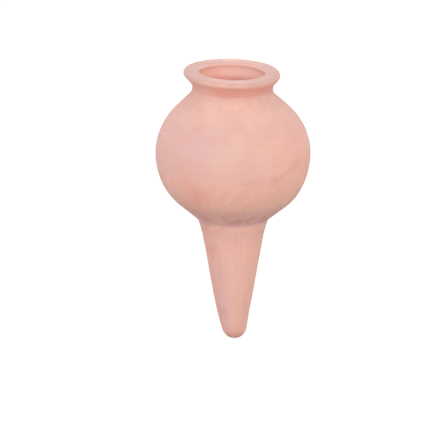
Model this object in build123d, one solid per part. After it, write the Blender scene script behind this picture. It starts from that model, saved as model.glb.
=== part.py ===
from build123d import *

import os
from math import asin, atan2, cos, degrees, radians, sin, sqrt

# Terracotta watering spike: a hollow globe with a rolled rim, on a hollow pointed spike.
#
# Millimetres, with +Z up. The origin is on the axis, level with the crease under the globe, which
# is where the soil comes to in use. The potter forms rim, globe and spike as separate pieces and
# lutes them together with slip, so each of these is a ring of its own. Every piece is a half
# section, drawn as radius and height, and turned once round the axis.

# Rim and neck
mouth_diameter = 28.0  # clear width inside the lip
lip_land = 0.6  # height of the straight wall of the lip
lip_step = 0.5  # how far the neck's bore stands back under the lip
lip_edge_radius = 1.1  # inner edge of the rim's flat crown
rim_edge_radius = 1.6  # outer edge, rolled over by the potter's fingers
rim_overhang = 3.4  # how far the rim reaches out past the waist
rim_taper_length = 2.8  # straight stretch under the rim, from its edge to the neck's hollow curve
neck_wall = 2.25  # at the waist, where the neck is narrowest
neck_cove_radius = 4.4  # hollow curve of the neck, outside

# Globe
globe_diameter = 64.8
globe_arc_offset = 5.2  # from the axis to the centre of the globe's arc, which is 0 on a sphere
globe_wall = 3.2
shoulder_length = 8.1  # straight stretch from the globe's arc to the neck
underside_length = 10.3  # straight stretch from the globe's arc to the crease
neck_root_round = 2.0  # inner edge where the neck opens into the globe

# Spike
spike_length = 52.2  # from the crease to the tip
spike_top_diameter = 27.5
spike_side_radius = 1200.0  # the side is a long arc, a little fuller than a cone
spike_tip_radius = 5.2
spike_wall = 3.2
spike_tip_thickness = 7.0  # solid clay below the bore
spigot_wall = 1.6  # of the short sleeve that stands up into the globe's floor

# Slip
slip_thickness = 0.4  # layer between two luted pieces
crease_ledge = 1.2  # how far the globe's seat stands out past the top of the spike
slip_bead_height = 8.0  # bead wiped round the crease, feathered out down the spike

# Radii of the neck and the rim, from the mouth outwards
mouth_radius = mouth_diameter / 2
neck_bore_radius = mouth_radius + lip_step
waist_radius = neck_bore_radius + neck_wall
rim_radius = waist_radius + rim_overhang


def bearing(centre, point):
    """Direction of a point from a centre, in degrees."""
    return degrees(atan2(point.Y - centre.Y, point.X - centre.X))


def around(centre, radius, angle):
    """Point at an angle, in degrees, on a circle."""
    return centre + Vector(cos(radians(angle)), sin(radians(angle))) * radius


def outer_reach(centre, radius, height):
    """Point at a height on the outer side of a circle."""
    return Vector(centre.X + sqrt(radius**2 - (height - centre.Y) ** 2), height)


def arc(centre, start, end):
    """Arc about a centre from one point to another, the short way round."""
    turn = (bearing(centre, end) - bearing(centre, start) + 180) % 360 - 180
    return CenterArc(centre, (start - centre).length, bearing(centre, start), turn)


def turned(*outline):
    """Ring of clay with the closed outline as its half section."""
    section = Plane.XZ * make_face(outline)
    return revolve(section, Axis.Z).solid()


# Side of the spike: one long arc from its top corner that runs into the round tip
spike_top = Vector(spike_top_diameter / 2, -slip_thickness)
tip_centre = Vector(0, spike_tip_radius - spike_length)
tip_end = Vector(0, -spike_length)
slant = spike_top - tip_centre
along_slant = slant.normalized()
across_slant = Vector(-along_slant.Y, along_slant.X)
tip_to_side_centre = spike_side_radius - spike_tip_radius
slant_part = (tip_to_side_centre**2 - spike_side_radius**2 + slant.length**2) / (2 * slant.length)
side_offset = sqrt(tip_to_side_centre**2 - slant_part**2)
side_centre = tip_centre + along_slant * slant_part + across_slant * side_offset
side_foot = around(side_centre, spike_side_radius, bearing(side_centre, tip_centre))

# Bore of the spike: the same arc, one wall further in, down to a round end above the tip
bore_side_radius = spike_side_radius - spike_wall
bore_top = outer_reach(side_centre, bore_side_radius, spike_top.Y)
bore_end = Vector(0, spike_tip_thickness - spike_length)
end_reach = bore_side_radius + bore_end.Y
bore_end_centre = Vector(
    0,
    (end_reach**2 - side_centre.length**2) / (2 * (end_reach - side_centre.Y)),
)
bore_foot = around(side_centre, bore_side_radius, bearing(side_centre, bore_end_centre))

# Spigot on the spike, and the hole for it in the globe's floor, with slip between them
spigot_radius = bore_top.X + spigot_wall
floor_hole_radius = spigot_radius + slip_thickness

# Outside of the globe: straight underside, round belly, straight shoulder
crease = Vector(spike_top.X + crease_ledge, 0)
globe_arc_radius = globe_diameter / 2 - globe_arc_offset
crease_in = crease.X - globe_arc_offset
globe_centre = Vector(
    globe_arc_offset,
    sqrt(underside_length**2 + globe_arc_radius**2 - crease_in**2),
)
underside_turn = degrees(atan2(underside_length, globe_arc_radius))
underside_end = around(globe_centre, globe_arc_radius, bearing(globe_centre, crease) + underside_turn)

# Neck: its hollow curve lies a shoulder's length from the belly
cove_in = waist_radius + neck_cove_radius - globe_arc_offset
arc_to_cove = globe_arc_radius + neck_cove_radius
cove_centre = Vector(
    waist_radius + neck_cove_radius,
    globe_centre.Y + sqrt(shoulder_length**2 + arc_to_cove**2 - cove_in**2),
)
shoulder_turn = degrees(atan2(shoulder_length, arc_to_cove))
shoulder_bearing = bearing(globe_centre, cove_centre) - shoulder_turn
shoulder_start = around(globe_centre, globe_arc_radius, shoulder_bearing)
shoulder_end = around(cove_centre, neck_cove_radius, shoulder_bearing + 180)

# Rim: its rolled edge lies a taper's length from the neck's curve, under a flat crown with a lip
cove_and_edge = neck_cove_radius + rim_edge_radius
edge_in = cove_and_edge - rim_overhang
rim_edge_centre = Vector(
    rim_radius - rim_edge_radius,
    cove_centre.Y + sqrt(rim_taper_length**2 + cove_and_edge**2 - edge_in**2),
)
taper_turn = degrees(atan2(rim_taper_length, cove_and_edge))
taper_bearing = bearing(cove_centre, rim_edge_centre) + taper_turn
taper_foot = around(cove_centre, neck_cove_radius, taper_bearing)
rim_edge_foot = around(rim_edge_centre, rim_edge_radius, taper_bearing + 180)
crown_outside = around(rim_edge_centre, rim_edge_radius, 90)
lip_edge_centre = Vector(mouth_radius + lip_edge_radius, crown_outside.Y - lip_edge_radius)
crown_inside = around(lip_edge_centre, lip_edge_radius, 90)
lip_top = around(lip_edge_centre, lip_edge_radius, 180)
lip_foot = lip_top - Vector(0, lip_land)
neck_bore_top = Vector(neck_bore_radius, lip_foot.Y - lip_step)

# The collar meets the globe at the waist, with slip between two flat faces
half_slip_turn = degrees(asin(slip_thickness / 2 / neck_cove_radius))
collar_foot = around(cove_centre, neck_cove_radius, 180 - half_slip_turn)
globe_head = around(cove_centre, neck_cove_radius, 180 + half_slip_turn)
collar_bore_foot = Vector(neck_bore_radius, collar_foot.Y)
globe_bore_head = Vector(neck_bore_radius, globe_head.Y)

# Inside of the globe: the same arc, one wall further in, from the neck's bore to the floor's hole
hollow_radius = globe_arc_radius - globe_wall
root_rise = sqrt(hollow_radius**2 - (neck_bore_radius - globe_arc_offset) ** 2)
floor_drop = sqrt(hollow_radius**2 - (floor_hole_radius - globe_arc_offset) ** 2)
neck_root = Vector(neck_bore_radius, globe_centre.Y + root_rise)
floor_edge = Vector(floor_hole_radius, globe_centre.Y - floor_drop)
floor_hole_foot = Vector(floor_hole_radius, 0)

# The spigot ends level with the edge of the hole that it fills
spigot_rim = Vector(spigot_radius, floor_edge.Y)
spigot_foot = Vector(spigot_radius, spike_top.Y)
spigot_bore_rim = Vector(bore_top.X, floor_edge.Y)


def rim_collar():
    """Rolled rim with its lip and the upper half of the neck."""
    return turned(
        arc(cove_centre, collar_foot, taper_foot),
        Line(taper_foot, rim_edge_foot),
        arc(rim_edge_centre, rim_edge_foot, crown_outside),
        Line(crown_outside, crown_inside),
        arc(lip_edge_centre, crown_inside, lip_top),
        Polyline(lip_top, lip_foot, neck_bore_top, collar_bore_foot, collar_foot),
    )


def collar_slip_joint():
    """Flat ring of slip under the collar, flush with the neck inside and outside."""
    return turned(
        arc(cove_centre, globe_head, collar_foot),
        Polyline(collar_foot, collar_bore_foot, globe_bore_head, globe_head),
    )


def globe_shell():
    """Hollow globe, with the lower half of the neck and the hole for the spike in its floor."""
    shell = turned(
        Line(crease, underside_end),
        arc(globe_centre, underside_end, shoulder_start),
        Line(shoulder_start, shoulder_end),
        arc(cove_centre, shoulder_end, globe_head),
        Polyline(globe_head, globe_bore_head, neck_root),
        arc(globe_centre, neck_root, floor_edge),
        Polyline(floor_edge, floor_hole_foot, crease),
    )
    round_edges = shell.edges().filter_by(GeomType.CIRCLE)
    root_edge = round_edges.sort_by_distance((neck_root.X, 0, neck_root.Y))[0]
    return fillet(root_edge, neck_root_round).solid()


def spike_slip_joint():
    """Slip round the spigot and on the spike's shoulder, with the bead wiped round the crease."""
    bead_end = outer_reach(side_centre, spike_side_radius, -slip_bead_height)
    outwards = (bead_end - side_centre).normalized()
    up_the_side = Vector(-outwards.Y, outwards.X)
    return turned(
        Polyline(crease, floor_hole_foot, floor_edge, spigot_rim, spigot_foot, spike_top),
        arc(side_centre, spike_top, bead_end),
        TangentArc(bead_end, crease, tangent=up_the_side),
    )


def spike_shell():
    """Hollow spike, with its spigot at the top and a closed round tip."""
    return turned(
        Polyline(bore_top, spigot_bore_rim, spigot_rim, spigot_foot, spike_top),
        arc(side_centre, spike_top, side_foot),
        arc(tip_centre, side_foot, tip_end),
        Line(tip_end, bore_end),
        arc(bore_end_centre, bore_end, bore_foot),
        arc(side_centre, bore_foot, bore_top),
    )


os.makedirs("parts", exist_ok=True)
for make_piece in (rim_collar, collar_slip_joint, globe_shell, spike_slip_joint, spike_shell):
    piece = make_piece()
    piece.label = make_piece.__name__
    export_step(piece, f"parts/{piece.label}.step")
    print(f"{piece.label}: {piece.volume / 1000:.2f} cm3")

print(f"height {crown_outside.Y + spike_length:.2f}, waist at {cove_centre.Y:.2f}, belly at {globe_centre.Y:.2f}")
print(f"lip from {lip_foot.Y:.2f} to {lip_top.Y:.2f}, neck opens at {neck_root.Y:.2f}, floor at {floor_edge.Y:.2f}")
print(f"rim diameter {2 * rim_radius:.2f}, spike bore {2 * bore_top.X:.2f}, floor hole {2 * floor_hole_radius:.2f}")
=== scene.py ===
# %% [markdown]
# # A terracotta watering spike
#
# A hollow clay globe with a rolled rim stands on a hollow clay spike. The spike is pressed into
# the soil beside a plant, the globe is filled with water, and the unglazed clay lets the water
# seep out slowly. The solids of the part are already exact, so this lesson adds what a drawing
# leaves out: the small unevenness of work done by hand, and the dry skin of fired clay.

import math

import bmesh
import bpy
from mathutils import Matrix, Vector, geometry, noise


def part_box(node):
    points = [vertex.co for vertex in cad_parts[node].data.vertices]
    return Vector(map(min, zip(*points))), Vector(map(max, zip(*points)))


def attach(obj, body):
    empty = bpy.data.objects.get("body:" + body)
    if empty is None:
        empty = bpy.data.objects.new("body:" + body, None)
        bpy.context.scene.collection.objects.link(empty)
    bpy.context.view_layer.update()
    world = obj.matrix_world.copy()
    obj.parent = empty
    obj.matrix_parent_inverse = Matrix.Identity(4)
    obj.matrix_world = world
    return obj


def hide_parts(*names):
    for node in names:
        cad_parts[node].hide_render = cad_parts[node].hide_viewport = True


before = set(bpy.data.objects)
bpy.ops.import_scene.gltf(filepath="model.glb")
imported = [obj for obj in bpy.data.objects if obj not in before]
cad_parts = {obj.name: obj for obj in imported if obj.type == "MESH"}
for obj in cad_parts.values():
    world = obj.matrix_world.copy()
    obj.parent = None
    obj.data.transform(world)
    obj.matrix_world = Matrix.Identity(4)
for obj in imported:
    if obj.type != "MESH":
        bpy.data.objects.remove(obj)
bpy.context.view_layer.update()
mm = 0.001  # the scene is in metres
print("solids:", ", ".join(sorted(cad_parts)))

# %% [markdown]
# ## Camera
#
# The picture looks down a little, and its perspective hardly shows: the sides of the spike stay
# straight and the mouth is a clean, flat ellipse. A near camera would enlarge the rim, which is
# closer to it than the tip, so this one stands six metres off with a lens of about 1200 mm. The
# point where the axis meets the crease under the globe is the origin, so one pixel and one scale
# are enough to frame the picture.

# %% Camera
photo_width = 430  # pixels
pixel_size = 0.4183 * mm  # of the object, seen in one pixel
crease_pixel = Vector((233.15, 217.4))  # where the origin is in the picture
camera_distance = 6.0
camera_elevation = math.radians(15.3)

towards_camera = Vector((0, -math.cos(camera_elevation), math.sin(camera_elevation)))
picture_right = Vector((1, 0, 0))
picture_up = towards_camera.cross(picture_right)
middle_right = (photo_width / 2 - crease_pixel.x) * pixel_size
middle_up = (crease_pixel.y - photo_width / 2) * pixel_size
picture_middle = picture_right * middle_right + picture_up * middle_up

camera = bpy.data.objects.new("camera", bpy.data.cameras.new("camera"))
camera.data.lens = camera.data.sensor_width * camera_distance / (photo_width * pixel_size)
camera.location = picture_middle + towards_camera * camera_distance
camera.rotation_euler = (math.pi / 2 - camera_elevation, 0, 0)
bpy.context.scene.collection.objects.link(camera)
bpy.context.scene.camera = camera
print(f"lens: {camera.data.lens:.0f} mm")

# %% [markdown]
# ## Sections
#
# Every piece is round, as clay from a wheel is, so half a section says all about its shape. It
# could be drawn again by hand, but the solid has it already, so it is cut from the solid by two
# planes through the axis. The cut gives a chain of short chords, which would show as faint bands
# in soft light. So each chord is replaced by a piece of Bezier curve that runs smoothly into its
# neighbours, and the sharp corners are kept.

# %% Cut a half section
merge_distance = 0.001 * mm


def half_section(solid):
    """Points round a solid's section on the +X side, in order, and whether they close a loop."""
    cut = bmesh.new()
    cut.from_mesh(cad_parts[solid].data)
    bmesh.ops.remove_doubles(cut, verts=cut.verts, dist=merge_distance)
    # The first cut keeps only the outline in its plane, and the second drops the half at -X
    for normal, outline_only in (((0, 1, 0), True), ((1, 0, 0), False)):
        bmesh.ops.bisect_plane(
            cut,
            geom=cut.verts[:] + cut.edges[:] + cut.faces[:],
            dist=merge_distance,
            plane_co=(0, 0, 0),
            plane_no=normal,
            clear_inner=True,
            clear_outer=outline_only,
        )
    ends = [point for point in cut.verts if len(point.link_edges) == 1]
    here = min(ends or cut.verts, key=lambda point: point.co.z)
    first_steps = [edge.other_vert(here) for edge in here.link_edges]
    step = max(first_steps, key=lambda point: point.co.x)
    chain = [here]
    while step is not None and step not in chain[:1]:
        chain.append(step)
        onwards = [edge.other_vert(step) for edge in step.link_edges]
        step = next((point for point in onwards if point is not chain[-2]), None)
    points = [point.co.copy() for point in chain]
    cut.free()
    return points, not ends


sections = {solid: half_section(solid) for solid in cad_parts}
for solid, (points, closed) in sections.items():
    print(f"{solid}: {len(points)} points, {'closed' if closed else 'open'}")

# %% Draw a smooth line through a section
corner_turn = math.radians(20)  # a larger turn between two chords is a corner
skin_spacing = 0.35 * mm  # between points where the line runs up, on the outside
wall_spacing = 1.2 * mm  # between the other points
neck_spacing = 0.4 * mm  # between the other points of the rim, which show in the mouth


def smooth_line(points, closed, inside_spacing):
    """Points on a curve through the section, with its corners kept, that are closer on the skin."""
    count = len(points)
    chords = [points[(i + 1) % count] - points[i] for i in range(count)]
    if not closed:
        chords.pop()

    def direction(i):
        """Direction of the curve at a point, or None at a corner or an end."""
        if not closed and i in (0, count - 1):
            return None
        before = chords[i - 1]
        after = chords[i % len(chords)]
        if before.angle(after) > corner_turn:
            return None
        return (before.normalized() * after.length + after.normalized() * before.length).normalized()

    line = []
    for i, chord in enumerate(chords):
        along = chord.normalized()
        leaving = direction(i)
        arriving = direction((i + 1) % count)
        if leaving is None:
            leaving = 2 * along - arriving if arriving else along
        if arriving is None:
            arriving = 2 * along - leaving
        reach = chord.length / 3  # so that the curve runs evenly
        start = points[i]
        end = points[(i + 1) % count]
        spacing = skin_spacing if chord.z > 0 else inside_spacing
        steps = max(math.ceil(chord.length / spacing), 1)
        curve = geometry.interpolate_bezier(
            start, start + leaving * reach, end - arriving * reach, end, steps + 1
        )
        line += curve[:-1]
    if not closed:
        line.append(points[-1])
    return line


print("smooth line of the globe:", len(smooth_line(*sections["globe_shell"], wall_spacing)), "points")

# %% [markdown]
# ## The maker's hand
#
# No two pots made by hand are alike. On this one the rim falls a little to the right, the globe
# sits slightly askew on the spike, the left shoulder bulges by about half a millimetre and the
# tip is bent. The marks read as lines from a wheel, down to a slanting line below which a damp
# sponge wiped the globe smooth, and as a spike that was shaved and rubbed from end to end. All of
# it could be sculpted. Here each point is moved by a formula of its own place instead, because
# two pieces that share an edge then still share it afterwards.

# %% Heights taken from the solids
belly = max(sections["globe_shell"][0], key=lambda point: point.x)
rim_low, rim_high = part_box("rim_collar")
crown_height = rim_high.z
waist_height = rim_low.z
tip_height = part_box("spike_shell")[0].z
print(f"belly {belly.z / mm:.1f} mm up, waist {waist_height / mm:.1f}, crown {crown_height / mm:.1f}")

# %% Smooth steps
def rise(value, start, end):
    """0 before the start, 1 past the end, and a smooth rise between them."""
    share = min(max((value - start) / (end - start), 0), 1)
    return share * share * (3 - 2 * share)


def hump(distance, reach):
    """1 at no distance, and a smooth fall to almost nothing at twice the reach."""
    return math.exp(-((distance / reach) ** 2))


print(f"a hump falls to {hump(1, 1):.2f} at its reach and to {hump(2, 1):.2f} at twice its reach")

# %% Lean of the neck and bend of the tip
lean = 0.036  # fall of the rim towards the right, as a slope
nod = 0.010  # and its fall towards the front
lean_start = 44 * mm  # the neck leans from here up
rim_wave = 0.12 * mm  # up and down, twice round the rim
rim_wave_turn = 1.0  # in radians
shoulder_shift = -0.2 * mm  # sideways, of the shoulder and all above it
shoulder_shift_start = 38 * mm
shoulder_shift_end = 50 * mm
rim_shift = -0.4 * mm  # of the rim, on top of that
floor_shift = 0.35 * mm  # of the globe's underside
floor_shift_height = 8 * mm
floor_shift_reach = 6 * mm
crease_margin = 4 * mm  # above the crease, over which a shift or a dent grows from nothing
tip_shift = 0.55 * mm
tip_shift_start = -38 * mm


def settled(point):
    """How far a point has moved as a whole, with the neck, the globe's underside or the tip."""
    if point.z < 0:
        return Vector((tip_shift * rise(point.z, tip_shift_start, tip_height), 0, 0))
    turn = math.atan2(point.y, point.x)
    wave = rim_wave * math.sin(2 * turn + rim_wave_turn)
    upwards = (nod * point.y - lean * point.x + wave) * rise(point.z, lean_start, crown_height)
    near_floor = hump(point.z - floor_shift_height, floor_shift_reach)
    sideways = (
        floor_shift * near_floor * rise(point.z, 0, crease_margin)
        + shoulder_shift * rise(point.z, shoulder_shift_start, shoulder_shift_end)
        + rim_shift * rise(point.z, waist_height, crown_height)
    )
    return Vector((sideways, 0, upwards))


for side, rim_end in (("left", rim_low.x), ("right", rim_high.x)):
    moved = settled(Vector((rim_end, 0, crown_height)))
    print(f"{side} end of the rim: {moved.z / mm:+.2f} mm up, {moved.x / mm:+.2f} mm to the right")

# %% Swellings
lump_height = 0.12 * mm
lump_size = 22 * mm
# Single swellings: middle, reach and height
left_shoulder = (Vector((-27, -8, 40)) * mm, 13 * mm, 0.45 * mm)
left_spike_top = (Vector((-13, 0, -6)) * mm, 6 * mm, 0.25 * mm)
# Swellings all the way round: how far up, reach and height, which is negative in a hollow
floor_ring = (9 * mm, 4.5 * mm, 0.22 * mm)
belly_ring = (22 * mm, 7 * mm, -0.12 * mm)
shoulder_ring = (50 * mm, 4 * mm, 0.12 * mm)
crease_ring = (-0.5 * mm, 1.5 * mm, -0.12 * mm)
spike_ring = (-34 * mm, 9 * mm, 0.12 * mm)
# Inside the neck the corner under the lip is filled, and the throat below it is a little narrower
lip_height = 1.7 * mm  # from its foot to the crown
lip_foot = crown_height - lip_height
neck_radius = 15.4 * mm  # in the neck's wall, between its bore and its outside
neck_blend = 0.4 * mm
lip_fill = (61.2 * mm, 0.6 * mm, -0.32 * mm)
throat = (57.4 * mm, 1.8 * mm, -0.35 * mm)
below_throat = (53.8 * mm, 2.0 * mm, 0.3 * mm)


def swollen(point):
    """How far the clay swells out at a point."""
    swell = lump_height * noise.noise(point / lump_size)
    for middle, reach, height in (left_shoulder, left_spike_top):
        swell += height * hump((point - middle).length, reach)
    for level, reach, height in (floor_ring, belly_ring, shoulder_ring, crease_ring, spike_ring):
        swell += height * hump(point.z - level, reach)
    inside = rise(point.xy.length, neck_radius, neck_radius - neck_blend)
    in_neck = inside * rise(point.z, lip_foot, lip_foot - neck_blend)
    for level, reach, height in (lip_fill, throat, below_throat):
        swell += height * hump(point.z - level, reach) * in_neck
    return swell


print(f"left shoulder: {swollen(left_shoulder[0]) / mm:+.2f} mm, lip's foot {lip_foot / mm:.2f} mm up")

# %% The sponge's line
sponge_height = 23.4 * mm  # the sponge stopped here
sponge_slope = -0.06  # a little lower towards the right
sponge_lift = 7.5 * mm  # and much higher on the right flank
sponge_lift_start = 14 * mm
sponge_lift_end = 30 * mm
sponge_ragged = 0.8 * mm
ragged_rate = 4  # steps of noise along that line in a radian of turn


def above_sponge(point, outwards):
    """Height of a point over the ragged line where the sponge stopped."""
    lifted = sponge_lift * rise(point.x, sponge_lift_start, sponge_lift_end)
    ragged = sponge_ragged * noise.noise(outwards * ragged_rate)
    return point.z - sponge_height - sponge_slope * point.x - lifted - ragged


for side, outwards in (("left", (-1, 0, 0)), ("front", (0, -1, 0)), ("right", (1, 0, 0))):
    over_line = above_sponge(Vector(outwards) * belly.x, Vector(outwards))
    print(f"sponge's line on the {side}: {-over_line / mm:.1f} mm up")

# %% Marks of wheel, sponge and knife
line_height = 0.004 * mm  # turning lines
line_pitch = 1.1 * mm
line_drift = 8 * line_pitch  # height over which a line wanders
sponge_edge = 0.004 * mm  # ridge of clay along the sponge's line
sponge_edge_width = 0.6 * mm
edge_rate = 2  # steps of noise along the ridge in a radian of turn
edge_share = 0.4  # added to the noise, so that more than half of the ridge stands
edge_noise = Vector((0, 0, 3))  # a place in the noise away from the line's own
sponge_dent = 0.05 * mm
sponge_mark = 6 * mm
shave_depth = 0.05 * mm
shave_width = 3.5 * mm
shave_length = 45 * mm
shave_start = -1 * mm
shave_full = -6 * mm
spike_radius = 9 * mm  # half way down


def marked(point, outwards, above):
    """How far the tools' marks stand out at a point."""
    if point.z < 0:
        round_spike = outwards * spike_radius / shave_width
        shave = noise.noise(Vector((round_spike.x, round_spike.y, point.z / shave_length)))
        return shave_depth * shave * rise(point.z, shave_start, shave_full)
    wheel = rise(above, 0, line_pitch)
    turn = math.atan2(outwards.y, outwards.x)
    drift = noise.noise(Vector((outwards.x, outwards.y, point.z / line_drift)))
    lines = line_height * math.sin(2 * math.pi * (point.z / line_pitch + drift) + turn)
    edge_strength = max(noise.noise(outwards * edge_rate + edge_noise) + edge_share, 0)
    edge = sponge_edge * edge_strength * hump(above, sponge_edge_width)
    dents = sponge_dent * noise.noise(point / sponge_mark) * rise(point.z, 0, crease_margin)
    return lines * wheel + edge + dents * (1 - wheel)


print(f"turning lines up to the waist: {(waist_height - sponge_height) / line_pitch:.0f}")

# %% [markdown]
# ## Clay
#
# Every finish here is taken to be one earthenware: a red clay, fired and left unglazed. It is dull
# and a little powdery, so it has almost no gloss. What the eye reads as clay is the change of
# colour from place to place: a mauve bloom on one side, warmer clay on the other, fine lines,
# smears and specks. An image could be painted for it, but a pattern worked out from the place on
# the piece needs no unwrapping and stays sharp close up. Colours are written as they look on a
# screen and turned into the linear values that the shader works with.

# %% Colours and nodes
turned_ground = "#EDC6B7"


def linear(hex_colour):
    """A colour written as sRGB hex, as the linear values of a shader, with full opacity."""
    values = []
    for first in (1, 3, 5):
        channel = int(hex_colour[first : first + 2], 16) / 255
        dark = channel <= 0.04045
        values.append(channel / 12.92 if dark else ((channel + 0.055) / 1.055) ** 2.4)
    return values + [1]


def add_node(tree, kind, settings=None, links=None):
    """Add one node, with its properties and input values set and its inputs linked."""
    made = tree.nodes.new("ShaderNode" + kind)
    for name, value in (settings or {}).items():
        if isinstance(name, str) and hasattr(made, name):
            setattr(made, name, value)
        else:
            made.inputs[name].default_value = value
    for name, source in (links or {}).items():
        tree.links.new(source, made.inputs[name])
    return made


print("turned clay in linear light:", [round(level, 3) for level in linear(turned_ground)[:3]])

# %% Masks
cloud_detail = 3  # octaves of noise finer than a patch
spot_waves = 2.5  # patches of noise along the radius of a spot
spot_ragged = 1.8  # radii between the nearest and the furthest that noise can put a spot's edge


def fade(tree, value, start, full, strength=1):
    """Mask that goes smoothly from 0 at the start to a strength where it is full, up or down."""
    soft = {"interpolation_type": "SMOOTHSTEP", "From Min": start, "From Max": full, "To Max": strength}
    return add_node(tree, "MapRange", soft, {"Value": value}).outputs["Result"]


def overlap(tree, *masks):
    """Mask that shows only where all of these masks do."""
    shown = masks[0]
    for mask in masks[1:]:
        shown = add_node(tree, "Math", {"operation": "MULTIPLY"}, {0: shown, 1: mask}).outputs[0]
    return shown


def mottle(tree, place, size, clear, full, strength):
    """Mask of soft patches of a size: clear at one level of the noise and full at another."""
    cloud = add_node(tree, "TexNoise", {"Scale": 1 / size, "Detail": cloud_detail}, {"Vector": place})
    return fade(tree, cloud.outputs["Fac"], clear, full, strength)


def spot(tree, place, middle, radius, strength):
    """Mask of one soft spot, its middle and radius in mm, with a ragged edge about the radius."""
    reach = radius * mm
    offset = {"operation": "SUBTRACT", 1: [length * mm for length in middle]}
    beside = add_node(tree, "VectorMath", offset, {0: place}).outputs[0]
    away = add_node(tree, "VectorMath", {"operation": "LENGTH"}, {0: beside}).outputs["Value"]
    waves = {"Scale": spot_waves / reach, "Detail": cloud_detail}
    cloud = add_node(tree, "TexNoise", waves, {"Vector": place})
    ragged = {"operation": "MULTIPLY_ADD", 1: spot_ragged * reach}
    edge = add_node(tree, "Math", ragged, {0: cloud.outputs["Fac"], 2: away}).outputs[0]
    full = spot_ragged / 2 * reach
    return fade(tree, edge, full + reach, full, strength)


print(f"a spot ends between {1 - spot_ragged / 2:.1f} and {1 + spot_ragged / 2:.1f} of its radius")

# %% [markdown]
# ## Fired skin
#
# Coats of colour lie over each other as washes do: each has a mask that says where it shows. Over
# all of them come weak darker and paler patches, specks of grog, which are crushed bits of older
# pots, and the fine grain of a porous, unglazed surface. Grog and grain could be modelled, but
# they are too small to show in the outline, so colour and bump are enough. The real grain is a
# few hundredths of a millimetre, far too fine to show, so it is drawn about ten times as coarse.

# %% Fire a clay
grog_spacing = 2.2 * mm
grog_size = 0.35 * mm
grog_strength = 0.5
grog_chance = (0.6, 0.9)  # random number from which a cell holds a faint speck, and a full one
grog_colour = "#C98D79"
patch_size = 4 * mm
patch_strength = 0.07
patch_colour = "#E4AE9C"
bloom_colour = "#F0CFC7"
grain_size = 0.5 * mm
grain_detail = 2
grain_depth = 0.03 * mm
grain_strength = 0.6
dry_roughness = 0.9
roughness_change = 0.06  # by the grain, up or down
powdery = 1.0  # as rough as diffuse light gets
faint_gloss = 0.2


def fire(tree, place, ground, coats):
    """Lay the coats over the ground colour, add grog and grain, and make the skin dry and dull."""
    cells = add_node(tree, "TexVoronoi", {"Scale": 1 / grog_spacing}, {"Vector": place})
    chance = add_node(tree, "SeparateColor", None, {"Color": cells.outputs["Color"]}).outputs[0]
    speck = fade(tree, cells.outputs["Distance"], grog_size / grog_spacing, 0, grog_strength)
    grog = overlap(tree, speck, fade(tree, chance, *grog_chance))
    dark_patch = mottle(tree, place, patch_size, clear=0.5, full=0.75, strength=patch_strength)
    pale_patch = mottle(tree, place, patch_size, clear=0.5, full=0.3, strength=patch_strength)
    body = [(dark_patch, patch_colour), (pale_patch, bloom_colour), (grog, grog_colour)]

    # Inputs 6 and 7 of a Mix node are its two colours, and output 2 is the mixed one
    colour = None
    for mask, hex_colour in coats + body:
        layer = {"data_type": "RGBA", 6: linear(ground), 7: linear(hex_colour)}
        links = {0: mask, 6: colour} if colour else {0: mask}
        colour = add_node(tree, "Mix", layer, links).outputs[2]

    shader = tree.nodes["Principled BSDF"]
    tree.links.new(colour, shader.inputs["Base Color"])
    shader.inputs["Diffuse Roughness"].default_value = powdery
    shader.inputs["Specular IOR Level"].default_value = faint_gloss
    porous = {"Scale": 1 / grain_size, "Detail": grain_detail}
    grain = add_node(tree, "TexNoise", porous, {"Vector": place}).outputs["Fac"]
    dryness = {"To Min": dry_roughness - roughness_change, "To Max": dry_roughness + roughness_change}
    rough = add_node(tree, "MapRange", dryness, {"Value": grain})
    tree.links.new(rough.outputs["Result"], shader.inputs["Roughness"])
    pores = {"Strength": grain_strength, "Distance": grain_depth}
    bump = add_node(tree, "Bump", pores, {"Height": grain})
    tree.links.new(bump.outputs["Normal"], shader.inputs["Normal"])


print(f"grog: specks up to {2 * grog_size / mm:.1f} mm wide in some cells of {grog_spacing / mm:.1f} mm")

# %% [markdown]
# ## Turned terracotta
#
# The globe and the rim look like earthenware turned on a wheel: a soft, matt pink with fine level
# lines. The other colours follow the picture. They are cooler on the left and warmer on the right,
# with a pale bloom in front that is partly such as salts leave on drying clay and partly painted
# light where the front lamp falls. The shoulder is darker, with a paler front that is painted
# light. Noise alone would make some mottled pot. Soft spots are laid over it because the largest
# blotches should stand where the picture has them. All coats were matched to the picture by
# colour, so a little of the picture's own light and shade may be in them.

# %% Start the turned clay
def new_clay(name):
    """A material to lay coats on: itself, its node tree and the place on the piece in metres."""
    material = bpy.data.materials.new(name)
    material.use_nodes = True
    tree = material.node_tree
    return material, tree, add_node(tree, "TexCoord").outputs["Object"]


terracotta, tree, place = new_clay("turned_terracotta")
right = add_node(tree, "SeparateXYZ", None, {"Vector": place}).outputs["X"]
height = add_node(tree, "Attribute", {"attribute_name": "thrown_height"}).outputs["Fac"]
above = add_node(tree, "Attribute", {"attribute_name": "above_sponge"}).outputs["Fac"]
flat = add_node(tree, "VectorMath", {"operation": "MULTIPLY", 1: (1, 1, 0)}, {0: place}).outputs[0]
off_axis = add_node(tree, "VectorMath", {"operation": "LENGTH"}, {0: flat}).outputs["Value"]
print(f"{terracotta.name}: {len(tree.nodes)} nodes to start with")

# %% Colours of the globe
def spot_coats(tree, place, spots):
    """Coats of soft spots, each given by its middle and radius in mm, its strength and its colour."""
    coats = []
    for middle, radius, strength, colour in spots:
        coats.append((spot(tree, place, middle, radius, strength), colour))
    return coats


bloom_size = 22 * mm
warm_size = 10 * mm
# Where a fade starts and where it is full, to the right of the axis
cool_left = (10 * mm, -32 * mm)
warm_right = (-4 * mm, 30 * mm)
# The same, up from the crease
upper_globe = (36 * mm, 45 * mm)
dark_shoulder = (47 * mm, 52 * mm)
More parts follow.
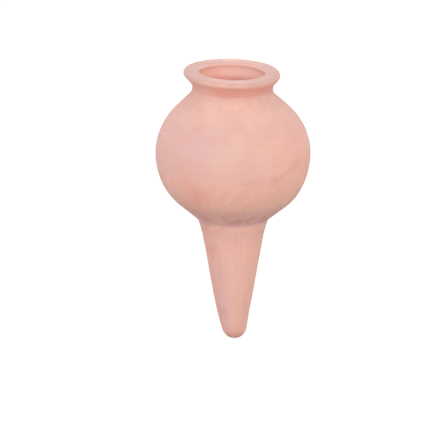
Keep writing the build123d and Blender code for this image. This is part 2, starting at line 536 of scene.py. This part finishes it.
# Spots: middle (right, back, up) and radius in mm, strength and colour
# Pale bloom in front: partly like salt bloom, partly painted light where the front lamp falls
front_bloom_and_light = ((0, -26, 45), 26, 0.9, "#EECDC0")
front_spots_and_light = [
    ((2, -26, 49), 10, 0.5, "#E2B8AB"),  # darker upper end of the bloom
    ((-9, -17.5, 55.5), 11, 0.6, "#F0CDC1"),  # paler front of the shoulder, from left to right
    # The next three spots are painted light: a paler front of the shoulder
    ((2, -19, 54.8), 9, 0.55, "#F5D0C2"),
    ((9, -18, 54.5), 10, 0.45, "#F0CABB"),
    ((-15, -27, 40), 13, 0.6, "#EAC7C7"),  # mauve to the left of the bloom
]
globe_coats = [
    (mottle(tree, place, bloom_size, clear=0.42, full=0.7, strength=0.9), "#EAC3BB"),
    (fade(tree, right, *cool_left, strength=0.9), "#ECC0BA"),
    (fade(tree, right, *warm_right, strength=0.9), "#F1C1B2"),
    (fade(tree, height, *upper_globe, strength=0.6), "#E3BAB0"),
    *spot_coats(tree, place, [front_bloom_and_light]),
    (fade(tree, height, *dark_shoulder, strength=0.4), "#DBB0A3"),
    *spot_coats(tree, place, front_spots_and_light),
    (mottle(tree, place, warm_size, clear=0.5, full=0.75, strength=0.14), "#EFBEAC"),
]
print("coats on the globe:", len(globe_coats))

# %% [markdown]
# ## Lines, smears and blotches
#
# Above the sponge's line run the level streaks of the wheel. Below it the clay is warmer, with
# smears that rise to the right, and an orange blotch stands on the left. The streaks could be one
# wave along the height, but real ones begin and end, so they are noise that is drawn out round
# the globe. The smears are made the same way, on a slant.

# %% Streaks and smears
band_length = 40 * mm  # of one streak round the globe
band_height = 0.5 * mm
smear_length = 14 * mm
smear_height = 3 * mm
smear_slant = math.radians(55)  # they rise to the right
# Where a fade starts and where it is full, up from the sponge's line
turned_start = (0, 2 * mm)
sponged_start = (4 * mm, -8 * mm)
line_top = (2.2 * mm, 0)
line_foot = (-2.2 * mm, 0)
# The same, to the right of the axis
line_right = (-2 * mm, 6 * mm)

round_globe = {"Scale": (1, 1, band_length / band_height)}
banded = add_node(tree, "Mapping", round_globe, {"Vector": place}).outputs[0]
slanting = {"Rotation": (0, -smear_slant, 0), "Scale": (1, 1, smear_height / smear_length)}
smeared = add_node(tree, "Mapping", {"vector_type": "TEXTURE"} | slanting, {"Vector": place}).outputs[0]
streaked = mottle(tree, banded, band_length, clear=0.4, full=0.7, strength=0.22)
dark_smears = mottle(tree, smeared, smear_length, clear=0.45, full=0.7, strength=0.32)
pale_smears = mottle(tree, smeared, smear_length, clear=0.48, full=0.3, strength=0.4)
broken = mottle(tree, place, warm_size, clear=0.35, full=0.55, strength=1)

turned_zone = fade(tree, above, *turned_start)
sponged_zone = fade(tree, above, *sponged_start)
on_line = overlap(tree, fade(tree, above, *line_top), fade(tree, above, *line_foot))
red_line = overlap(tree, on_line, fade(tree, right, *line_right, strength=0.25), broken)
mark_coats = [
    (overlap(tree, turned_zone, streaked), "#E3B0A1"),
    (sponged_zone, "#F1C0AE"),
    (overlap(tree, sponged_zone, dark_smears), "#E7A894"),
    (overlap(tree, sponged_zone, pale_smears), "#F6CFC2"),
    (red_line, "#E59C88"),
]
print("coats of streaks and smears:", len(mark_coats))

# %% Underside and blotches
smudge_size = 5 * mm
# Where a fade starts and where it is full, up from the crease
underside = (13 * mm, 1 * mm)
smudged = (10 * mm, 4 * mm)
floor_edge = (1.6 * mm, 0.5 * mm)
# Spots: middle (right, back, up) and radius in mm, strength and colour
blotches_and_edge_light = [
    ((-17, -25, 17), 13, 0.35, "#EDACA0"),  # orange blotch, low on the left
    ((-15.6, -25, 15.5), 6, 0.3, "#EAA090"),  # its middle
    # The next two spots are painted light: paler pink at the lower left and right edges, where the globe
    # turns away
    ((-26.4, -13.2, 17.7), 9, 0.7, "#F6C4C0"),  # pink near the lower left edge
    ((28, -11, 20.5), 8, 0.7, "#FAC5B4"),  # and near the lower right edge
    ((-27.5, -16.5, 29.4), 7, 0.35, "#EDB9A3"),  # warm patch on the left
    ((-23, -22, 28), 8, 0.35, "#EBB9A5"),
    ((17.5, -26.5, 22.5), 4, 0.4, "#EBA893"),  # orange on the sponge's line
    ((25, -17, 29), 6, 0.35, "#EBA893"),  # and where it rises on the right
    ((26, -16, 40), 9, 0.4, "#EAB2A5"),  # upper right
    ((-14, -23, 47), 9, 0.35, "#E5B7A8"),  # upper left
    ((-2.4, -16.7, 56.4), 2.5, 0.35, "#DD9A87"),  # small red mark under the neck
    ((-1.5, -21.7, 4.8), 1.2, 0.6, "#DB9083"),  # small red mark over the crease
]
smudges = mottle(tree, place, smudge_size, clear=0.45, full=0.65, strength=0.5)
blotch_coats = [
    (fade(tree, height, *underside, strength=0.7), "#F2BFBA"),
    (overlap(tree, fade(tree, height, *smudged), smudges), "#DC978B"),
    (fade(tree, height, *floor_edge, strength=0.7), "#F8CFC8"),
    *spot_coats(tree, place, blotches_and_edge_light),
]
print("coats of the underside and blotches:", len(blotch_coats))

# %% [markdown]
# ## Neck, mouth and crown
#
# The hollow under the rim is redder and darker all round: partly a red tint and partly painted
# shade under the rim, with painted light at its left end. The flat crown is greyer, with painted
# shade all round and painted light at its back and front edge. The inside of the neck is pale,
# which is painted light, with painted shade in the corner under the lip, low in the throat and at
# the right end of the mouth, and orange at the left end of the mouth. The rim could have a finish
# of its own, but the colours would then break off at the waist, where the picture shows no seam.
# So it shares the globe's finish, and masks by height and by distance from the axis tell the neck,
# the mouth and the crown apart.

# %% Neck and rolled edge
# Where a fade starts and where it is full, out from the axis or up from the crease
outer_side = (neck_radius - 0.2 * mm, neck_radius + 0.2 * mm)
over_waist = (waist_height - 1.2 * mm, waist_height + 1.3 * mm)
under_rim = (crown_height - 1.6 * mm, crown_height - 3 * mm)
upper_neck = (waist_height, waist_height + 3 * mm)
below_crown = (crown_height - 0.3 * mm, crown_height - 0.9 * mm)
over_hollow = (crown_height - 3 * mm, crown_height - 1.5 * mm)
# The same, to the right of the axis
lit_neck_left = (-4 * mm, -16 * mm)

outside = fade(tree, off_axis, *outer_side)
red_and_shaded_hollow = overlap(tree, outside, fade(tree, height, *over_waist), fade(tree, height, *under_rim))
rim_roll = overlap(tree, fade(tree, height, *below_crown), fade(tree, height, *over_hollow))
front_highlight = spot(tree, place, (-6, -20, 62), 13, strength=0.4)
neck_coats = [
    # Painted highlight: paler on the front of the rolled edge
    (overlap(tree, rim_roll, front_highlight), "#F5D2C5"),
    # Painted shade under the rim, with a red tint: the hollow is darker and redder, less so higher up
    (red_and_shaded_hollow, "#E2A997"),
    (overlap(tree, red_and_shaded_hollow, fade(tree, height, *upper_neck)), "#F2B09F"),
    # Painted light: paler at the left end of the hollow
    (overlap(tree, red_and_shaded_hollow, fade(tree, right, *lit_neck_left, strength=0.35)), "#F3CFC8"),
]
print("coats on the neck:", len(neck_coats))

# %% Mouth and crown
# Where a fade starts and where it is full, out from the axis or up from the crease
inner_side = (neck_radius, neck_radius - 0.6 * mm)
lit_inside = (waist_height - 10 * mm, crown_height)
under_lip = (lip_foot + 0.5 * mm, lip_foot)
shaded_lip_corner = (lip_foot - 1.2 * mm, lip_foot - 0.4 * mm)
lit_lip_wall = (lip_foot + 0.3 * mm, lip_foot + 0.9 * mm)
shaded_low_inside = (58.5 * mm, 56 * mm)
crown = (crown_height - 0.7 * mm, crown_height - 0.1 * mm)
crown_edge = (16 * mm, 18.5 * mm)

inside = fade(tree, off_axis, *inner_side)
below_lip = overlap(tree, inside, fade(tree, height, *under_lip))
mouth_left = spot(tree, place, (-12, 8, 60), 14, strength=0.7)
shaded_mouth_right = spot(tree, place, (12, 8, 60), 9, strength=0.6)
shaded_crown = fade(tree, height, *crown, strength=0.9)
lit_crown_back = spot(tree, place, (0, 17, 63.5), 18, strength=1)
lit_crown_front = spot(tree, place, (0, -17, 63.5), 18, strength=1)
mouth_coats = [
    # Painted light: the inside is paler, most near the crown
    (overlap(tree, inside, fade(tree, height, *lit_inside)), "#FAD3C7"),
    # Painted shade: redder in the corner under the lip
    (overlap(tree, below_lip, fade(tree, height, *shaded_lip_corner, strength=0.7)), "#F3BAAB"),
    # Painted light: paler on the wall of the lip
    (overlap(tree, inside, fade(tree, height, *lit_lip_wall)), "#F4D1C9"),
    # Painted shade: darker and redder low in the throat
    (overlap(tree, inside, fade(tree, height, *shaded_low_inside, strength=0.6)), "#F4AD99"),
    (overlap(tree, below_lip, mouth_left), "#FAB298"),
    # Painted shade: redder at the right end of the mouth
    (overlap(tree, below_lip, shaded_mouth_right), "#F6BCB0"),
    # Painted light and shade on the crown: greyer all round, paler at the back and at the front edge
    (shaded_crown, "#D9B5AC"),
    (overlap(tree, shaded_crown, lit_crown_back), "#EFC8BE"),
    (overlap(tree, shaded_crown, fade(tree, off_axis, *crown_edge), lit_crown_front), "#E6C1B5"),
]
fire(tree, place, turned_ground, globe_coats + mark_coats + blotch_coats + neck_coats + mouth_coats)
print("turned terracotta:", len(tree.nodes), "nodes")

# %% [markdown]
# ## Smoothed terracotta
#
# The spike is the same earthenware, shaved with a knife and rubbed smooth with a wet hand, if its
# marks are read right. That gives the eye a smoother pink with streaks from the crease to the
# tip. Noise drawn out along the height would run straight down and be cut off where the spike
# narrows. So it is taken on coordinates that go round the axis and change slowly with height, and
# the streaks draw together towards the tip.

# %% Smoothed terracotta
smoothed_ground = "#F3C6B9"
streak_width = 0.8 * mm
streak_length = 16 * mm
broad_streak = 5 * mm
broad_offset = 10 * streak_width  # along the noise, so that broad streaks don't follow narrow ones
warm_patch = 8 * mm
# Where a fade starts and where it is full, as a share of the radius to the right
right_flank = (0.2, 0.9)
left_flank = (-0.3, -0.95)
mauve_left_edge = (-0.95, -0.55)
mauve_right_edge = (0, -0.4)
# The same, up from the crease
mauve_height = (-12 * mm, -25 * mm)
tip = (-44 * mm, -51 * mm)
# Spots: middle (right, back, up) and radius in mm, strength and colour
spike_spots = [
    ((-8.9, -7.3, -12.1), 5, 0.4, "#E39C89"),  # red on the upper left
    ((-6.8, -11, -2.4), 3, 0.4, "#EDA48C"),  # orange under the crease
    ((-4.2, -4.9, -39.7), 4, 0.35, "#DBA498"),  # darker low on the left
]


def streaks(tree, place):
    """Coats of the spike: its sides, its streaks and its spots."""
    flat = add_node(tree, "VectorMath", {"operation": "MULTIPLY", 1: (1, 1, 0)}, {0: place}).outputs[0]
    outwards = add_node(tree, "VectorMath", {"operation": "NORMALIZE"}, {0: flat}).outputs[0]
    upright = {"operation": "MULTIPLY", 1: (0, 0, streak_width / streak_length)}
    slow_height = add_node(tree, "VectorMath", upright, {0: place}).outputs[0]
    round_spike = {"operation": "MULTIPLY_ADD", 1: (spike_radius, spike_radius, 0)}
    along = add_node(tree, "VectorMath", round_spike, {0: outwards, 2: slow_height}).outputs[0]
    further = {"operation": "ADD", 1: (0, 0, broad_offset)}
    elsewhere = add_node(tree, "VectorMath", further, {0: along}).outputs[0]
    right = add_node(tree, "SeparateXYZ", None, {"Vector": outwards}).outputs["X"]
    height = add_node(tree, "SeparateXYZ", None, {"Vector": place}).outputs["Z"]
    mauve = overlap(
        tree,
        fade(tree, right, *mauve_left_edge, strength=0.5),
        fade(tree, right, *mauve_right_edge),
        fade(tree, height, *mauve_height),
    )
    return [
        (fade(tree, right, *right_flank, strength=0.8), "#F0BDA9"),
        (fade(tree, right, *left_flank, strength=0.8), "#ECB9AB"),
        (mauve, "#EAC2BF"),
        (mottle(tree, elsewhere, broad_streak, clear=0.48, full=0.7, strength=0.4), "#EEC4BD"),
        (mottle(tree, along, streak_width, clear=0.5, full=0.7, strength=0.3), "#EDB2A1"),
        (mottle(tree, along, streak_width, clear=0.5, full=0.3, strength=0.25), "#F5CFC6"),
        (mottle(tree, place, warm_patch, clear=0.5, full=0.75, strength=0.3), "#F2BCAA"),
        *spot_coats(tree, place, spike_spots),
        (fade(tree, height, *tip, strength=0.6), "#EFB5A4"),
    ]


smoothed, tree, place = new_clay("smoothed_terracotta")
fire(tree, place, smoothed_ground, streaks(tree, place))
print("smoothed terracotta:", len(tree.nodes), "nodes")

# %% [markdown]
# ## Clay slip
#
# Slip is clay stirred with water. Here it fills the seam under the globe, and it looks as if it
# was wiped round with a brush or a finger: a little paler than the clay beside it, in fine level
# streaks. Part of that paleness is painted light, which lifts the shade under the globe. With only
# its own coats it would end in a hard line on the spike. So it has all coats of the spike below
# its own, and its own fade out where it thins.

# %% Clay slip
brush_length = 30 * mm
brush_height = 0.9 * mm
slip_patch = 4 * mm
# Where the slip starts to show and where it is thick, up from the crease
slip_shows = (-5 * mm, -1 * mm)

slip, tree, place = new_clay("clay_slip")
height = add_node(tree, "SeparateXYZ", None, {"Vector": place}).outputs["Z"]
brush = {"Scale": (1, 1, brush_length / brush_height)}
brushed = add_node(tree, "Mapping", brush, {"Vector": place}).outputs[0]
brush_marks = mottle(tree, brushed, brush_length, clear=0.4, full=0.7, strength=0.5)
warm_patches = mottle(tree, place, slip_patch, clear=0.5, full=0.7, strength=0.6)
pale_patches = mottle(tree, place, slip_patch, clear=0.5, full=0.3, strength=0.6)
thickness = fade(tree, height, *slip_shows, strength=0.75)
slip_coats = [
    # Partly painted light: the slip is paler where it is thick, under the globe's shade
    (thickness, "#FBD0C3"),
    (overlap(tree, thickness, brush_marks), "#EDBFB1"),
    (overlap(tree, thickness, warm_patches), "#EDB19D"),
    (overlap(tree, thickness, pale_patches), "#F3D0CA"),
]
fire(tree, place, smoothed_ground, streaks(tree, place) + slip_coats)
print("clay slip:", len(tree.nodes), "nodes")

# %% [markdown]
# ## Pieces
#
# A potter turns clay, and a spin does the same: it sweeps a half section round the axis. A Screw
# modifier would do that too, but a spun bmesh has points that can be moved at once. An eighth of a
# turn is spun and then doubled three times, so that rounding adds up over 24 steps and not 192.
# Rim, globe and spike each take the finish of the way that they look to have been made. No seam
# shows at the neck, so the thin ring of slip there has the finish of the clay on both sides of it.

# %% Spin a section
turning_steps = 24  # in an eighth of a turn
doublings = 3


def spun(line, closed):
    """A section spun round the axis: an eighth of a turn, doubled until it closes."""
    clay = bmesh.new()
    ring = [clay.verts.new(point) for point in line]
    for start, end in zip(ring, ring[1:]):
        clay.edges.new((start, end))
    if closed:
        clay.edges.new((ring[-1], ring[0]))
    sector = 2 * math.pi / 2**doublings
    bmesh.ops.spin(
        clay,
        geom=clay.verts[:] + clay.edges[:],
        cent=(0, 0, 0),
        axis=(0, 0, 1),
        angle=sector,
        steps=turning_steps,
    )
    for doubling in range(doublings):
        everything = clay.verts[:] + clay.edges[:] + clay.faces[:]
        copied = bmesh.ops.duplicate(clay, geom=everything)["geom"]
        bmesh.ops.rotate(
            clay,
            verts=[part for part in copied if isinstance(part, bmesh.types.BMVert)],
            cent=(0, 0, 0),
            matrix=Matrix.Rotation(sector * 2**doubling, 3, "Z"),
        )
    bmesh.ops.remove_doubles(clay, verts=clay.verts, dist=merge_distance)
    bmesh.ops.recalc_face_normals(clay, faces=clay.faces)
    return clay


print("steps in a full turn:", turning_steps * 2**doublings)

# %% Turn the pieces
sharp_edge = math.radians(35)
pole_radius = 3 * mm  # nearer to the axis than this, swellings and marks fade out


def make_uneven(clay):
    """Move each point as the maker's hand did, and note the heights that the finishes read."""
    over_line = clay.verts.layers.float.new("above_sponge")
    thrown_height = clay.verts.layers.float.new("thrown_height")
    for vert in clay.verts:
        point = vert.co.copy()
        outwards = Vector((point.x, point.y, 0)).normalized()
        off_pole = rise(point.x**2 + point.y**2, 0, pole_radius**2)
        above = above_sponge(point, outwards)
        swell = swollen(point) + marked(point, outwards, above)
        vert.co = point + outwards * swell * off_pole + settled(point)
        vert[over_line] = above
        vert[thrown_height] = point.z


def turned_piece(name, solid, material, inside_spacing):
    """A piece that stands for a solid: its section, spun round the axis and made uneven."""
    points, closed = sections[solid]
    clay = spun(smooth_line(points, closed, inside_spacing), closed)
    for face in clay.faces:
        face.smooth = True
    for edge in clay.edges:
        edge.smooth = edge.calc_face_angle(0) < sharp_edge
    make_uneven(clay)
    mesh = bpy.data.meshes.new(name)
    clay.to_mesh(mesh)
    clay.free()
    mesh.materials.append(material)
    piece = bpy.data.objects.new(name, mesh)
    bpy.context.scene.collection.objects.link(piece)
    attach(piece, "root")
    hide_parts(solid)
    print(f"{name}: {len(mesh.vertices)} points, {len(mesh.polygons)} faces")


turned_piece("rolled_rim", "rim_collar", terracotta, neck_spacing)
turned_piece("neck_slip", "collar_slip_joint", terracotta, wall_spacing)
turned_piece("turned_globe", "globe_shell", terracotta, wall_spacing)
turned_piece("crease_slip", "spike_slip_joint", slip, wall_spacing)
turned_piece("pointed_spike", "spike_shell", smoothed, wall_spacing)

# %% [markdown]
# ## Floor and light
#
# The picture is a plain product shot on white, in soft light. Where its lamps stood can only be
# guessed from the shading. Here a large lamp in front and above reaches into the mouth and leaves
# the neck and the underside in shade, one on each side widens that light, and two low ones behind
# keep the outline from going dark. A white floor could be lit until it clips, but its bounce would
# then wash out the underside. So the floor looks white to the camera and reflects only part of the
# light, as white paper on a table does, and it keeps a faint shadow.

# %% Floor
floor_reach = 3.0

sheet = bmesh.new()
bmesh.ops.create_circle(sheet, cap_ends=True, segments=64, radius=floor_reach)
bmesh.ops.translate(sheet, verts=sheet.verts, vec=(0, 0, tip_height))
floor_mesh = bpy.data.meshes.new("floor")
sheet.to_mesh(floor_mesh)
sheet.free()
floor = bpy.data.objects.new("floor", floor_mesh)
bpy.context.scene.collection.objects.link(floor)
print(f"floor: {tip_height / mm:.1f} mm from the crease, {floor_reach:.0f} m to each side")

# %% White seen by the camera
floor_bounce = 0.6  # share of the light that the floor throws back
floor_shade = 0.25  # share that it shows to the camera, so that shadows can be seen
floor_glow = 0.9  # white that it shows by itself


def seen_directly(tree):
    """1 for a ray that shows a surface to the camera, also in a reflection, and 0 for its light."""
    path = add_node(tree, "LightPath").outputs
    seen = path["Is Camera Ray"]
    for kind in ("Is Glossy Ray", "Is Transmission Ray"):
        seen = add_node(tree, "Math", {"operation": "MAXIMUM"}, {0: seen, 1: path[kind]}).outputs[0]
    return seen


paper = bpy.data.materials.new("white_paper")
paper.use_nodes = True
tree = paper.node_tree
tree.nodes.clear()
bounce = add_node(tree, "BsdfDiffuse", {"Color": (floor_bounce, floor_bounce, floor_bounce, 1)})
shaded = add_node(tree, "BsdfDiffuse", {"Color": (floor_shade, floor_shade, floor_shade, 1)})
glow = add_node(tree, "Emission", {"Strength": floor_glow})
white = add_node(tree, "AddShader", None, {0: shaded.outputs[0], 1: glow.outputs[0]})
sides = {0: seen_directly(tree), 1: bounce.outputs[0], 2: white.outputs[0]}
mixed = add_node(tree, "MixShader", None, sides)
add_node(tree, "OutputMaterial", None, {"Surface": mixed.outputs[0]})
floor_mesh.materials.append(paper)
print("white paper:", len(tree.nodes), "nodes")

# %% Light from all round
tent_level = 0.15

world = bpy.data.worlds.new("light_tent")
world.use_nodes = True
tree = world.node_tree
brightness = add_node(tree, "MapRange", {"To Min": tent_level}, {"Value": seen_directly(tree)})
sky = tree.nodes["Background"]
sky.inputs["Color"].default_value = (1, 1, 1, 1)
tree.links.new(brightness.outputs["Result"], sky.inputs["Strength"])
bpy.context.scene.world = world
print("light tent:", len(tree.nodes), "nodes")

# %% Lamps
lamp_distance = 0.9


def softbox(name, azimuth, elevation, size, level):
    """A square lamp that lights a surface facing it at a level, where 1 renders a colour as written."""
    lamp = bpy.data.lights.new(name, "AREA")
    lamp.size = size
    lamp.energy = level * math.pi**2 * lamp_distance**2
    box = bpy.data.objects.new(name, lamp)
    turn = math.radians(azimuth)
    up = math.radians(elevation)
    aim = Vector((math.sin(turn) * math.cos(up), -math.cos(turn) * math.cos(up), math.sin(up)))
    box.location = aim * lamp_distance
    box.rotation_euler = aim.to_track_quat("Z", "Y").to_euler()
    box.visible_camera = False
    bpy.context.scene.collection.objects.link(box)
    print(f"{name}: {lamp.energy:.2f} W")


softbox("front_softbox", azimuth=0, elevation=32, size=0.6, level=0.57)
for side, way in (("left", -1), ("right", 1)):
    softbox(f"{side}_softbox", azimuth=50 * way, elevation=40, size=0.5, level=0.21)
    softbox(f"{side}_back_light", azimuth=140 * way, elevation=4, size=0.4, level=0.4)

# %% [markdown]
# ## Look
#
# Blender can show a scene through a film-like view, which softens bright colours. The Standard
# view is set here, because it shows a colour as it was written.

# %% Look of the picture
look = bpy.context.scene.view_settings
look.view_transform = "Standard"
print("view transform:", look.view_transform)
